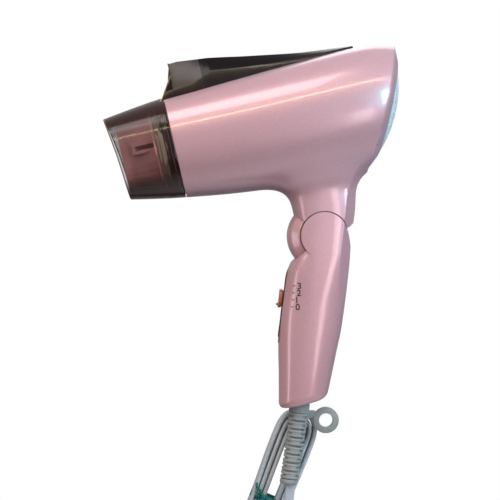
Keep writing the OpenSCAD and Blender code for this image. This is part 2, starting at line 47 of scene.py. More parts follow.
# ---------------------------------------------------------------- places, as in part.scad
FOLD = np.array([19.5, 0.0, 51.5])
AIR_Z = 80.85
OUTLET_X = -84.0
RAKE = math.radians(19.5)
REAR_LEAN = math.radians(24.3)
REAR_AT = np.array([61.2, 0.0, 74.4])
RIM_BACK = -4.5
DOME_R, DOME_RISE = 31.8, 6.5
CHEEK_R, GRIP_W = 15.7, 18.8
HUB_R, HUB_DEG, SEAM_DEG, LUG_W = 23.8, 131.0, 205.5, 12.1
HUB_LINE = [(0, 14.6), (16.5, 14), (18, 13.2), (20, 12), (21.8, 10.8), (23, 9.6), (HUB_R, 8.4)]
HANDLE_END = -107.8
PLATE_T, PLATE_LEN, PLATE_W, KNOB_T = -50.2, 51.8, 7.4, -45.3
TOP_LINE = [(-84, 115.35), (-56, 116.4), (-28, 117.6), (0, 118.6), (30, 119.5), (48, 119.6), (62, 118.8),
            (74, 116), (86, 110)]
LOW_LINE = [(-84, 46.35), (-56, 42.3), (-28, 39.4), (0, 38.2), (30, 37.8), (48, 38.4), (62, 41), (86, 50)]
WIDE_LINE = [(-84, 1), (-40, 1.01), (20, 1.04), (86, 1.04)]
NECK_FRONT = [(-20, -15.6), (18, -15.6), (30, -15.8), (46, -15.8)]
NECK_BACK = [(-6, 18.4), (3.4, 21.8), (11.7, 25), (21.6, 27.9), (30.6, 31), (37.8, 34), (46, 37)]
NECK_SQUARE = [(-6, 3.6), (18, 3.4), (30, 2.8), (46, 2.4)]
GRIP_FRONT = [(-130, 15.3), (-112, 17.1), (-96, 19), (-80, 21.1), (-60, 22.9), (-40, 22.3), (-26, 20.9),
              (-18, 18.4), (-12, 15.6), (8, 15.6)]
GRIP_BACK = [(-130, 13), (-107, 15.3), (-92, 16.8), (-77, 18.2), (-61, 19.7), (-32, 20.2), (-6, 19.3),
             (2, 17.4), (8, 15.2)]
GRIP_WIDE = [(-130, 14.4), (-112, 15.3), (-90, 16.4), (-60, 17.6), (-24, GRIP_W), (8, GRIP_W)]
GRIP_SQUARE = [(-130, 2.6), (-45, 2.6), (-22, 3.3), (-8, 3.7), (8, 3.8)]
HOOD_TOP = [(-84, 135.5), (-70, 134.6), (-60, 133.6), (-48, 132.6), (-28, 128.9), (11, 122.6), (34, 120.7),
            (48, 119.7)]
HOOD_FOLD = [(-84, 116.5), (-63, 118), (-50, 123.6), (-28, 121.4), (-6, 119.4), (20, 118.6), (48, 118.4)]
HOOD_SIDE = [(-84, 16), (-63, 16.5), (-50, 16), (-28, 16), (11, 15), (34, 12.5), (44, 9), (48, 6)]
HOOD_FLAT = [(-84, 12), (-60, 11.5), (-48, 10.5), (-28, 10), (11, 9), (34, 7.5), (44, 5.4), (48, 4)]
CORD_W, CORD_T, CORD_LENGTH = 6.6, 3.4, 1.7
LEAD_ROUTE = [(-38.6, 0, -105), (-45, 0, -123), (-52, 1, -140), (-59.5, 3.5, -155), (-68, 6.5, -166),
              (-79, 9, -170.5), (-89, 10.8, -167), (-94.4, 11.5, -158), (-92.7, 11.6, -147.5)]
TAIL_ROUTE = [(-66, 18.4, -155), (-76, 18.4, -170), (-85, 18, -186), (-90.5, 17.3, -199), (-92, 17, -212)]
HANK_TOP, HANK_LEN, HANK_LEAN, HANK_W = np.array([-18.0, 15.0, -62.0]), 124.0, math.radians(34.5), 30.0
PLUG_AT = (-92.0, 17.0, -210.0)


# ---------------------------------------------------------------- small tools
def mix(a, b, t):
    return a + (b - a) * t


def curve(table, x):
    """A smooth curve through a short table of (place, value)."""
    t = np.array(table, float)
    x = np.clip(np.asarray(x, float), t[0, 0], t[-1, 0])
    last = len(t) - 1
    i = np.clip(np.searchsorted(t[:, 0], x, side="right") - 1, 0, last - 1)
    lo, hi = np.maximum(np.arange(last + 1) - 1, 0), np.minimum(np.arange(last + 1) + 1, last)
    m = (t[hi, 1] - t[lo, 1]) / (t[hi, 0] - t[lo, 0])
    d = t[i + 1, 0] - t[i, 0]
    u = (x - t[i, 0]) / d
    return (t[i, 1] * (2 * u**3 - 3 * u**2 + 1) + m[i] * d * (u**3 - 2 * u**2 + u)
            + t[i + 1, 1] * (3 * u**2 - 2 * u**3) + m[i + 1] * d * (u**3 - u**2))


def smooth_min(a, b, k):
    h = np.clip(0.5 + 0.5 * (b - a) / k, 0, 1)
    return mix(b, a, h) - k * h * (1 - h)


def smooth_max(a, b, k):
    return -smooth_min(-a, -b, k)


def signed_power(v, power):
    """v to a power, with its sign kept."""
    return math.copysign(abs(v) ** power, v)


def squircle(a, b, n):
    return (np.abs(a) ** n + np.abs(b) ** n) ** (1 / n)


def grip_place(t, f=0.0, y=0.0):
    """A point at t along the handle's axis and f in front of it, from the origin."""
    x, z = t * math.sin(RAKE) - f * math.cos(RAKE), t * math.cos(RAKE) + f * math.sin(RAKE)
    return FOLD + np.array([x, y, z])


def add_object(name, mesh, body, material, replaced=()):
    obj = bpy.data.objects.new(name, mesh)
    bpy.context.scene.collection.objects.link(obj)
    mesh.materials.clear()
    mesh.materials.append(material)
    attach(obj, body)
    if replaced:
        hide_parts(*replaced)
    return obj


def new_mesh(name, verts, faces, smooth=True):
    """A mesh from points in millimetres."""
    mesh = bpy.data.meshes.new(name)
    mesh.from_pydata([tuple(MM * c for c in v) for v in verts], [], [tuple(int(i) for i in f) for f in faces])
    mesh.validate()
    if smooth:
        mesh.shade_smooth()
    return mesh


def edit(mesh, change):
    bm = bmesh.new()
    bm.from_mesh(mesh)
    change(bm)
    bm.to_mesh(mesh)
    bm.free()
    return mesh


def outward(mesh):
    return edit(mesh, lambda bm: bmesh.ops.recalc_face_normals(bm, faces=bm.faces))


def baked(mesh, *modifiers):
    """The mesh with modifiers applied, each (kind, settings)."""
    obj = bpy.data.objects.new("bake", mesh)
    bpy.context.scene.collection.objects.link(obj)
    for kind, settings in modifiers:
        m = obj.modifiers.new(kind, kind)
        for key, value in settings.items():
            setattr(m, key, value)
    bpy.context.view_layer.update()
    done = bpy.data.meshes.new_from_object(obj.evaluated_get(bpy.context.evaluated_depsgraph_get()))
    bpy.data.objects.remove(obj)
    return done


def prism(outline, y0, y1):
    """A closed prism along Y from an outline of (x, z) points relative to the fold axis."""
    n = len(outline)
    verts = [FOLD + np.array([x, y, z]) for y in (y0, y1) for x, z in outline]
    faces = [list(range(n)), list(range(2 * n - 1, n - 1, -1))]
    faces += [[i, (i + 1) % n, n + (i + 1) % n, n + i] for i in range(n)]
    return outward(new_mesh("prism", verts, faces, False))


def ring_points(r, a0=0.0, a1=360.0, n=96, closed=True):
    turns = np.radians(np.linspace(a0, a1, n, endpoint=not closed))
    return [(r * math.cos(a), r * math.sin(a)) for a in turns]


def skin(rings, around):
    """Quads between neighbouring rings of points; around also joins the last ring to the first."""
    m, n = len(rings), len(rings[0])
    return [[j * n + i, (j + 1) % m * n + i, (j + 1) % m * n + (i + 1) % n, j * n + (i + 1) % n]
            for j in range(m if around else m - 1) for i in range(n)]


def loft(name, rings):
    """A solid through rings of points, closed at its two ends."""
    verts, n = [p for r in rings for p in r], len(rings[0])
    ends = [list(range(n)), list(range(len(verts) - 1, len(verts) - n - 1, -1))]
    return outward(new_mesh(name, verts, skin(rings, False) + ends))


def hoop(name, rings):
    """A ring-shaped solid whose last ring of points joins its first."""
    return outward(new_mesh(name, [p for r in rings for p in r], skin(rings, True)))


def turned(name, profile, place, steps=96):
    """A closed solid turned from a profile of (radius, along); place maps (x, y, along) to the frame."""
    return hoop(name, [[place(r * c, r * s, h) for r, h in profile] for c, s in ring_points(1.0, n=steps)])


REAR_N = np.array([math.cos(REAR_LEAN), 0, -math.sin(REAR_LEAN)])
REAR_UP = np.array([math.sin(REAR_LEAN), 0, math.cos(REAR_LEAN)])


def rear_place(a, b, h):
    return FOLD + REAR_AT + REAR_N * h + np.array([0, a, 0]) + REAR_UP * b


# ---------------------------------------------------------------- materials
def linear(rgb):
    """A display colour, 0 to 255, as the linear colour that the shader takes."""
    parts = [c / 255 for c in rgb]
    return tuple(c / 12.92 if c <= 0.04045 else ((c + 0.055) / 1.055) ** 2.4 for c in parts) + (1.0,)


def material(name, rgb, rough=0.4, metal=0.0, coat=0.0, specular=0.5, grain=(300, 0.03), tone=0.06,
             patch=40, bump=0.05):
    """Moulded plastic or metal: colour drifts in patches, roughness varies, and a fine grain bumps it."""
    mat = bpy.data.materials.new(name)
    mat.use_nodes = True
    nodes, links = mat.node_tree.nodes, mat.node_tree.links
    bsdf = nodes["Principled BSDF"]
    base = linear(rgb)
    for socket, value in (("Metallic", metal), ("Coat Weight", coat), ("Coat Roughness", 0.06),
                          ("Specular IOR Level", specular), ("IOR", 1.5)):
        bsdf.inputs[socket].default_value = value
    place = nodes.new("ShaderNodeTexCoord")
    drift = nodes.new("ShaderNodeTexNoise")
    drift.inputs["Scale"].default_value = patch
    drift.inputs["Detail"].default_value = 3
    ramp = nodes.new("ShaderNodeValToRGB")
    ramp.color_ramp.elements[0].position, ramp.color_ramp.elements[1].position = 0.3, 0.7
    ramp.color_ramp.elements[0].color = tuple(c * (1 - tone) for c in base[:3]) + (1,)
    ramp.color_ramp.elements[1].color = tuple(min(1, c * (1 + tone)) for c in base[:3]) + (1,)
    links.new(place.outputs["Object"], drift.inputs["Vector"])
    links.new(drift.outputs["Fac"], ramp.inputs["Fac"])
    links.new(ramp.outputs["Color"], bsdf.inputs["Base Color"])
    fine = nodes.new("ShaderNodeTexNoise")
    fine.inputs["Scale"].default_value = grain[0]
    fine.inputs["Detail"].default_value = 2
    links.new(place.outputs["Object"], fine.inputs["Vector"])
    spread = nodes.new("ShaderNodeMapRange")
    spread.inputs["To Min"].default_value = max(0.02, rough - grain[1])
    spread.inputs["To Max"].default_value = rough + grain[1]
    links.new(fine.outputs["Fac"], spread.inputs["Value"])
    links.new(spread.outputs["Result"], bsdf.inputs["Roughness"])
    lift = nodes.new("ShaderNodeBump")
    lift.inputs["Strength"].default_value = bump
    lift.inputs["Distance"].default_value = 0.0002
    links.new(fine.outputs["Fac"], lift.inputs["Height"])
    links.new(lift.outputs["Normal"], bsdf.inputs["Normal"])
    return mat


def pearl(name, rgb):
    """Pearl lacquer under a clear coat, with the flakes' glints painted into the base colour as pale specks.
    """
    mat = material(name, rgb, rough=0.32, metal=0.25, coat=0.7, grain=(1800, 0.08), tone=0.03, patch=12,
                   bump=0.1)
    nodes, links = mat.node_tree.nodes, mat.node_tree.links
    bsdf = nodes["Principled BSDF"]
    # painted glints: pale specks mixed into the base colour stand in for the light that the flakes catch
    flakes = nodes.new("ShaderNodeTexVoronoi")
    flakes.inputs["Scale"].default_value = 2600
    painted_glint = nodes.new("ShaderNodeMapRange")
    painted_glint.inputs["From Min"].default_value, painted_glint.inputs["From Max"].default_value = 0.5, 1.0
    painted_glint.inputs["To Min"].default_value, painted_glint.inputs["To Max"].default_value = 0.0, 0.16
    pale = nodes.new("ShaderNodeMixRGB")
    pale.inputs["Color2"].default_value = linear((255, 236, 236))
    place = next(n for n in nodes if n.type == "TEX_COORD")
    base = next(n for n in nodes if n.type == "VALTORGB")
    links.new(place.outputs["Object"], flakes.inputs["Vector"])
    links.new(flakes.outputs["Color"], painted_glint.inputs["Value"])
    links.new(painted_glint.outputs["Result"], pale.inputs["Fac"])
    links.new(base.outputs["Color"], pale.inputs["Color1"])
    links.new(pale.outputs["Color"], bsdf.inputs["Base Color"])
    bsdf.inputs["Sheen Weight"].default_value = 0.25
    bsdf.inputs["Sheen Tint"].default_value = linear((215, 225, 255))
    return mat


def smoked(name, rgb, alpha):
    """Smoked plastic, clearer on the sides, where the duct shows through, than above and below."""
    mat = material(name, rgb, rough=0.07, coat=0.3, grain=(60, 0.03), tone=0.12, patch=18, bump=0.02)
    nodes, links = mat.node_tree.nodes, mat.node_tree.links
    mark, ramp = nodes.new("ShaderNodeAttribute"), nodes.new("ShaderNodeValToRGB")
    mark.attribute_name = "edge"
    ramp.color_ramp.elements[0].position, ramp.color_ramp.elements[1].position = 0.5, 0.92
    ramp.color_ramp.elements[0].color = (alpha, alpha, alpha, 1)
    ramp.color_ramp.elements[1].color = (0.93, 0.93, 0.93, 1)
    links.new(mark.outputs["Fac"], ramp.inputs["Fac"])
    links.new(ramp.outputs["Color"], nodes["Principled BSDF"].inputs["Alpha"])
    return mat


PINK = pearl("pink_pearl", (206, 155, 162))
PINK_DUCT = material("pink_duct", (238, 168, 168), rough=0.4, tone=0.06)
SMOKE = smoked("smoke_clear", (58, 32, 26), 0.3)
SMOKE_HOOD = material("smoke_hood", (17, 9, 10), rough=0.2, coat=0.0, specular=0.22, tone=0.2, patch=24)
HOOD_LIP = material("hood_lip", (30, 18, 17), rough=0.24, coat=0.25, tone=0.15)
TAN = material("tan_plastic", (150, 130, 108), rough=0.4, tone=0.1)
WHITE = material("mesh_white", (226, 236, 240), rough=0.38, tone=0.05)
DARK = material("dark_plastic", (26, 24, 25), rough=0.5, tone=0.2)
GREY = material("grey_vinyl", (146, 150, 148), rough=0.55, tone=0.1, grain=(900, 0.08), bump=0.25)
CORD = material("cord_vinyl", (186, 194, 200), rough=0.42, tone=0.08, grain=(700, 0.06), bump=0.15)
TEAL = material("tie_teal", (0, 112, 108), rough=0.4, tone=0.15)
BRASS = material("plated_brass", (205, 185, 130), rough=0.22, metal=1.0, tone=0.05)
STEEL = material("bare_steel", (170, 172, 176), rough=0.28, metal=1.0, tone=0.06, grain=(500, 0.1))
IVORY = material("ivory_plastic", (222, 216, 200), rough=0.45)
MICA = material("mica", (176, 154, 118), rough=0.5, tone=0.25, patch=160, grain=(400, 0.15), bump=0.3)
COPPER = material("heater_wire", (190, 170, 150), rough=0.35, metal=0.9)
BOARD = material("board_green", (20, 92, 54), rough=0.4)
WIRE = material("lead_red", (176, 34, 30), rough=0.4)
BRONZE_DEEP = material("bronze_deep", (40, 24, 20), rough=0.3, metal=0.1, coat=0.05, tone=0.3, patch=45)
TAN_DARK = material("mouth_tan", (120, 98, 84), rough=0.35, coat=0.3)
BAND = material("band_brown", (48, 30, 28), rough=0.16, coat=0.5, tone=0.1)
GOLD = material("gold_line", (190, 150, 96), rough=0.25, metal=0.6)
COPPERY = material("copper_plastic", (178, 112, 88), rough=0.34, metal=0.15, coat=0.3, tone=0.08)
PRINT = material("mark_print", (34, 30, 38), rough=0.5, tone=0.1)

NODE_LOOKS = {
    "finger_guard": DARK, "filter_screen": DARK, "fan_duct": IVORY, "motor": STEEL, "motor_shaft": STEEL,
    "impeller": DARK, "heater_cross": MICA, "heater_coils": COPPER, "heat_sleeve": MICA, "thermostat": DARK,
    "thermal_fuse": IVORY, "outlet_grille": DARK, "outlet_collar": TAN, "swivel_ring": TAN,
    "nozzle_duct": PINK_DUCT, "ion_module": IVORY, "ion_needle": STEEL, "hinge_bushes": IVORY,
    "hinge_axle": STEEL, "detent_spring": STEEL, "head_screws": STEEL, "handle_screws": STEEL,
    "switch_block": DARK, "switch_board": BOARD, "cord_clamp": DARK, "handle_leads": WIRE, "plug_pins": BRASS,
}

# ---------------------------------------------------------------- camera
VIEW_AT = FOLD + np.array([-50.2, 0, 1.8])
VIEW_FAR, VIEW_WIDE, VIEW_AZ, VIEW_EL, VIEW_ROLL = 900.0, 340.0, -2.0, 0.0, 13.0


def make_camera():
    data = bpy.data.cameras.new("camera")
    data.sensor_width = 36
    data.lens = 36 * VIEW_FAR / VIEW_WIDE
    cam = bpy.data.objects.new("camera", data)
    bpy.context.scene.collection.objects.link(cam)
    a, e = math.radians(VIEW_AZ), math.radians(VIEW_EL)
    back = Vector((math.sin(a) * math.cos(e), -math.cos(a) * math.cos(e), math.sin(e)))
    cam.location = Vector(VIEW_AT * MM) + back * VIEW_FAR * MM
    turn = (-back).to_track_quat("-Z", "Y").to_matrix().to_4x4()
    cam.rotation_euler = turn.to_euler()
    cam.rotation_euler.rotate_axis("Z", math.radians(-VIEW_ROLL))
    data.clip_start, data.clip_end = 0.01, 50
    bpy.context.scene.camera = cam


make_camera()

# ---------------------------------------------------------------- cord, hank, tie and plug
HANK_U = np.array([-math.sin(HANK_LEAN), 0, -math.cos(HANK_LEAN)])
HANK_V = np.array([math.cos(HANK_LEAN), 0, -math.sin(HANK_LEAN)])
HANK_RADII = (13.0, 9.2, 5.4)
HANK_LAYERS = (11.6, 18.4)


def hank_place(u, v, y):
    # the runs draw in a little where the tie holds them
    v = v * (1 - 0.1 * math.exp(-(((u - HANK_LEN * 0.54) / 18) ** 2)))
    return np.array([HANK_TOP[0], y, HANK_TOP[2]]) + HANK_U * u + HANK_V * v


def spline(points, k):
    p = [np.array(q, float) for q in points]
    out = []
    for i in range(len(p) - 1):
        a, b, c, d = p[max(i - 1, 0)], p[i], p[i + 1], p[min(i + 2, len(p) - 1)]
        for j in range(k):
            t = j / k
            out.append(0.5 * (2 * b + (c - a) * t + (2 * a - 5 * b + 4 * c - d) * t * t
                              + (3 * b - a - 3 * c + d) * t**3))
    return out + [p[-1]]


def hank_runs():
    """Three nested loops in the near layer, then three in the far one."""
    top, low = HANK_W / 2, HANK_LEN - HANK_W / 2
    loops = [(r, HANK_LAYERS[0]) for r in HANK_RADII] + [(r, HANK_LAYERS[1]) for r in reversed(HANK_RADII)]
    out = []
    for i, (r, y) in enumerate(loops):
        out += [hank_place(u, -r, y) for u in np.linspace(low, top, 14)[1:-1]]
        out += [hank_place(top - r * math.sin(a), -r * math.cos(a), y) for a in np.linspace(0, math.pi, 13)]
        out += [hank_place(u, r, y) for u in np.linspace(top, low, 14)[1:-1]]
        if i + 1 < len(loops):
            r2, y2 = loops[i + 1]
            for a in np.linspace(0, math.pi, 13):
                s = a / math.pi
                s = s * s * (3 - 2 * s)
                rr = mix(r, r2, s)
                out.append(hank_place(low + rr * math.sin(a), rr * math.cos(a), mix(y, y2, s)))
    return out


def make_cord():
    lead = spline(LEAD_ROUTE, 6)
    tail = spline(TAIL_ROUTE, 6)
    runs = hank_runs()
    path = lead[:-1] + runs[2:-1] + tail[1:]
    path = np.array(path)
    # one smooth curve, evenly stepped
    for _ in range(3):
        path[1:-1] = 0.25 * path[:-2] + 0.5 * path[1:-1] + 0.25 * path[2:]
    step = np.linalg.norm(np.diff(path, axis=0), axis=1)
    along = np.concatenate([[0], np.cumsum(step)])
    even = np.linspace(0, along[-1], int(along[-1] / 2.6))
    path = np.stack([np.interp(even, along, path[:, k]) for k in range(3)], -1)
    flat_until = 45.0
    section = []
    for a in np.linspace(0, 2 * math.pi, 20, endpoint=False):
        w, t = math.cos(a), math.sin(a)
        waist = 0.78 + 0.22 * min(1, abs(w) * 2.2)
        section.append((CORD_W / 2 * signed_power(w, 0.85), CORD_T / 2 * signed_power(t, 0.75) * waist))
    rings = []
    for i, p in enumerate(path):
        d = path[min(i + 1, len(path) - 1)] - path[max(i - 1, 0)]
        d /= np.linalg.norm(d)
        across = np.cross([0, 1, 0], d)
        across /= np.linalg.norm(across)
        other = np.cross(d, across)
        turn = math.pi / 2 * min(1, max(0, (even[i] - 12) / flat_until))
        c, s = math.cos(turn), math.sin(turn)
        wide, thin = across * c + other * s, other * c - across * s
        rings.append([p + wide * a + thin * b for a, b in section])
    obj = add_object("cord", loft("cord", rings), "handle", CORD, ("cord_lead", "cord_hank", "cord_tail"))
    return obj, path, along[-1]


def hank_point(u, v, y):
    """A point of the hank: u along it, v across and y through it."""
    return HANK_TOP * [1, 0, 1] + HANK_U * u + HANK_V * v + np.array([0, y, 0])


def make_tie():
    """A flat wire tie round the hank's waist, with its twisted ends."""
    at, half_v, half_y, mid_y = HANK_LEN * 0.54, HANK_W / 2 - 2.1, 6.9, HANK_TOP[1]
    rings = []
    for u, out in ((-2.2, 0), (-2.2, 0.9), (2.2, 0.9), (2.2, 0)):
        wide, thick = half_v + out, half_y + out
        rings.append([hank_point(at + u, wide * signed_power(c, 0.6), mid_y + thick * signed_power(s, 0.6))
                      for c, s in ring_points(1.0, n=40)])
    add_object("tie_band", hoop("tie", rings), "handle", TEAL, ("cord_tie",))
    for name, side in (("tie_end_a", -1), ("tie_end_b", 1)):
        points = [hank_point(at + side * (2.5 * t + 1.2 * math.sin(9 * t)), -4 - 3 * t,
                             mid_y - half_y - 1.3 - 1.2 * abs(math.sin(3 * t))) for t in np.linspace(0, 3, 16)]
        add_object(name, tube(points, 0.9), "handle", TEAL)


def tube(points, r, sides=10):
    rings = []
    for i, p in enumerate(points):
        d = points[min(i + 1, len(points) - 1)] - points[max(i - 1, 0)]
        d = d / np.linalg.norm(d)
        a = np.cross(d, [0.3, 0.2, 0.93])
        a /= np.linalg.norm(a)
        b = np.cross(d, a)
        rings.append([p + r * (a * c + b * s) for c, s in ring_points(1.0, n=sides)])
    return loft("tube", rings)


# the plug's outline: (height, half width, half thickness) from the cord's end to the pins
PLUG_LINE = [(0, 3.6, 3.0), (-2, 4.6, 3.8), (-4, 4.2, 3.4), (-6, 5.0, 4.2), (-8, 4.8, 4.0), (-10, 6.0, 5.0),
             (-12, 8.6, 6.4), (-15, 11.2, 7.2), (-20, 10.4, 6.6), (-25, 11.4, 7.3), (-28.6, 11.8, 7.4),
             (-29.8, 11.0, 6.8), (-30, 9.5, 5.6)]


def make_plug():
    """Moulded two-blade plug: waisted grip, ribbed neck."""
    rings = [[np.array(PLUG_AT) + [w * signed_power(c, 0.7), t * signed_power(s, 0.7), z]
              for c, s in ring_points(1.0, n=48)] for z, w, t in PLUG_LINE]
    mesh = baked(loft("plug", rings), ("SUBSURF", {"levels": 1}))
    return add_object("plug", mesh, "handle", CORD, ("plug_body",))


cord, cord_path, cord_found = make_cord()
plug = make_plug()
make_tie()
[tuple(MM * c for c in p) for p in cord_path]
print("cord length found", round(cord_found, 1))

# ---------------------------------------------------------------- shells
def dual(name, field, lo, hi, step):
    """The zero surface of a field, in millimetres about the fold axis, as quads that keep its sharp edges."""
    axes = [np.arange(lo[k], hi[k] + step, step) for k in range(3)]
    value = field(*np.meshgrid(*axes, indexing="ij"))
    inside = value < 0
    shape = np.array(inside.shape) - 1
    count = np.zeros(shape, int)
    for i in (0, 1):
        for j in (0, 1):
            for k in (0, 1):
                count += inside[i:i + shape[0], j:j + shape[1], k:k + shape[2]]
    active = (count > 0) & (count < 8)
    number = np.full(active.shape, -1)
    number[active] = np.arange(active.sum())
    total = active.sum()
    ata, atb, mass, hits = np.zeros((total, 3, 3)), np.zeros((total, 3)), np.zeros((total, 3)), np.zeros(total)
    faces, eye = [], np.eye(3)
    for axis in range(3):
        b, c = (axis + 1) % 3, (axis + 2) % 3
        n = inside.shape[axis]
        first = np.take(inside, range(n - 1), axis)
        edges = np.argwhere(first != np.take(inside, range(1, n), axis))
        other = edges + np.eye(3, dtype=int)[axis]
        pa = np.stack([axes[k][edges[:, k]] for k in range(3)], -1)
        pb = np.stack([axes[k][other[:, k]] for k in range(3)], -1)
        va, vb = value[tuple(edges.T)], value[tuple(other.T)]
        for _ in range(3):
            p = pa + (pb - pa) * np.clip(va / (va - vb), 0.02, 0.98)[:, None]
            v = field(*p.T)
            same = (v < 0) == (va < 0)
            pa, va = np.where(same[:, None], p, pa), np.where(same, v, va)
            pb, vb = np.where(same[:, None], pb, p), np.where(same, vb, v)
        p = pa + (pb - pa) * (va / (va - vb))[:, None]
        g = np.stack([field(*(p + 0.03 * eye[k]).T) - field(*(p - 0.03 * eye[k]).T) for k in range(3)], -1)
        g /= np.maximum(np.linalg.norm(g, axis=1), 1e-9)[:, None]
        eb, ec = np.eye(3, dtype=int)[b], np.eye(3, dtype=int)[c]
        ok = (edges[:, b] > 0) & (edges[:, c] > 0) & (edges[:, b] < shape[b]) & (edges[:, c] < shape[c])
        edges, p, g = edges[ok], p[ok], g[ok]
        quad = []
        for s in (eb + ec, ec, 0 * eb, eb):
            cell = number[tuple((edges - s).T)]
            quad.append(cell)
            np.add.at(ata, cell, g[:, :, None] * g[:, None, :])
            np.add.at(atb, cell, g * (g * p).sum(1)[:, None])
            np.add.at(mass, cell, p)
            np.add.at(hits, cell, 1)
        quad = np.stack(quad, -1)
        flip = first[tuple(edges.T)]
        quad[~flip] = quad[~flip][:, ::-1]
        faces.append(quad)
    middle = mass / np.maximum(hits, 1)[:, None]
    size, axis = np.linalg.eigh(ata)
    rest = np.einsum("nji,nj->ni", axis, atb - np.einsum("nij,nj->ni", ata, middle))
    rest = np.where(size > 0.08 * size[:, -1:], rest / np.maximum(size, 1e-9), 0)
    move = np.einsum("nij,nj->ni", axis, rest)
    move *= np.minimum(1, step / np.maximum(np.linalg.norm(move, axis=1), 1e-9))[:, None]
    mesh = outward(new_mesh(name, middle + move + FOLD, np.concatenate(faces)))
    mesh.set_sharp_from_angle(angle=math.radians(24))
    return mesh


def other_side(mesh):
    """The mesh mirrored to the other side of the parting plane."""
    twin = mesh.copy()
    for v in twin.vertices:
        v.co.y = -v.co.y
    twin.flip_normals()
    twin.set_sharp_from_angle(angle=math.radians(24))
    return twin


def wedge(x, z, angle):
    """Distance over the line through the fold axis at an angle, positive on its left."""
    a = math.radians(angle)
    return -x * math.sin(a) + z * math.cos(a)


def barrel_field(x, y, z, inset=0.0):
    top, low = curve(TOP_LINE, x), curve(LOW_LINE, x)
    hh = (top - low) / 2 - inset
    hw = (top - low) / 2 * curve(WIDE_LINE, x) - inset
    return (squircle(y / hw, (z - (top + low) / 2) / hh, 2.35) - 1) * hh


def crease(s, y):
    """The long bevel down the back corners of the neck and handle."""
    return 0.78 * s + 0.626 * (np.abs(y) - 18.1)


def neck_field(x, y, z, inset=0.0):
    a, b = curve(NECK_FRONT, z) + inset, curve(NECK_BACK, z) - inset
    w = GRIP_W - inset
    side = squircle((x - (a + b) / 2) / ((b - a) / 2), y / w, curve(NECK_SQUARE, z)) - 1
    side = side * np.minimum(w, (b - a) / 2)
    return np.maximum(np.maximum(side, crease(x - b + 8.2 - inset, y) + inset), z - 62)


def hub_field(x, y, z):
    r = np.hypot(x, z)
    return np.maximum(r - HUB_R, np.abs(y) - curve(HUB_LINE, r))


def head_field(x, y, z):
    neck = np.maximum(neck_field(x, y, z), np.maximum(-wedge(x - 15.6, z - 0.1, 32), -z))
    neck = np.maximum(neck, wedge(x, z, HUB_DEG))
    hub = np.maximum(hub_field(x, y, z), np.maximum(wedge(-x, -z, 101), wedge(x, z, 213.5)))
    body = smooth_min(barrel_field(x, y, z), neck, 15)
    body = np.minimum(body, hub)
    barrel_wall = np.interp(x, [-84, -60], [2.4, 3.4])
    void = np.minimum(barrel_field(x, y, z, barrel_wall), np.maximum(neck_field(x, y, z, 3), 18 - z))
    rear = (x - REAR_AT[0]) * REAR_N[0] + (z - REAR_AT[2]) * REAR_N[2] - RIM_BACK
    seat = np.maximum(np.hypot(x, z) - CHEEK_R - 0.7, LUG_W - np.abs(y))
    out = np.maximum(np.maximum(body, -void), np.maximum(OUTLET_X - x, rear))
    return np.maximum(np.maximum(out, -seat), y + 0.05)


def grip_local(x, z):
    """Handle axes: height along it and distance behind it."""
    return x * math.sin(RAKE) + z * math.cos(RAKE), x * math.cos(RAKE) - z * math.sin(RAKE)


def grip_field(x, y, z, inset=0.0):
    t, s = grip_local(x, z)
    f, b, w = curve(GRIP_FRONT, t) - inset, curve(GRIP_BACK, t) - inset, curve(GRIP_WIDE, t) - inset
    side = squircle((s - (b - f) / 2) / ((f + b) / 2), y / w, curve(GRIP_SQUARE, t)) - 1
    side = side * np.minimum(w, (f + b) / 2)
    return np.maximum(side, crease(s - 12.2 - 0.07 * np.maximum(-50 - t, 0), y) + inset)


def handle_field(x, y, z):
    t, s = grip_local(x, z)
    r = np.hypot(x, z)
    shell = smooth_max(grip_field(x, y, z), HANDLE_END - z, 5)
    void = np.maximum(grip_field(x, y, z, 2.6), HANDLE_END + 3 - z)
    slope = math.tan(math.radians(SEAM_DEG + 0.7))
    low = (z + 0.4 - np.interp(x, [-200, 0, 16, 120], [-200 * slope, 0, -0.3, 64])) * 0.88
    seat = CHEEK_R - 0.2 - r
    body = np.maximum(np.maximum(shell, -void), np.maximum(low, seat))
    path = np.maximum(hub_field(x, y, z) - 0.4, np.maximum(wedge(x, z, 281.8), wedge(-x, -z, 201.8)))
    body = np.maximum(body, -path)
    plate = np.maximum(np.hypot(y, np.maximum(np.abs(t - PLATE_T) - PLATE_LEN / 2 + PLATE_W, 0)) - PLATE_W, s)
    body = np.maximum(body, -plate)
    flat = (squircle(s / 21.4, y / (GRIP_W - 0.04), 3.7) - 1) * GRIP_W
    cheek = np.maximum(np.maximum(r - CHEEK_R + 0.05, 12.5 + y), np.maximum(flat, crease(s - 12.2, y)))
    return np.maximum(np.minimum(body, cheek), y + 0.05)


FINE = 1.2
head_left = dual("head_left", head_field, (-86, -44, -26), (74, 1.5, 121), FINE)
add_object("head_left", head_left, "head", PINK, ("head_shell_left",))
add_object("head_right", other_side(head_left), "head", PINK, ("head_shell_right",))
handle_left = dual("handle_left", handle_field, (-62, -21, -111), (22, 1.5, 17), min(FINE, 1.6) * 0.85)
add_object("handle_left", handle_left, "handle", PINK, ("handle_shell_left",))
add_object("handle_right", other_side(handle_left), "handle", PINK, ("handle_shell_right",))

# ---------------------------------------------------------------- rear rim and intake dome
def rim_field(x, y, z):
    along = (x - REAR_AT[0]) * REAR_N[0] + (z - REAR_AT[2]) * REAR_N[2]
    up = (x - REAR_AT[0]) * REAR_UP[0] + (z - REAR_AT[2]) * REAR_UP[2]
    cone = (np.hypot(y, up - 0.9) - 44.9 + 2.14 * (along - RIM_BACK)) * 0.42
    bore = DOME_R + 0.15 - np.hypot(y, up)
    ends = np.maximum(RIM_BACK + 0.02 - along, along - 0.6)
    return np.maximum(np.maximum(smooth_max(barrel_field(x, y, z), cone, 1.6), bore), ends)


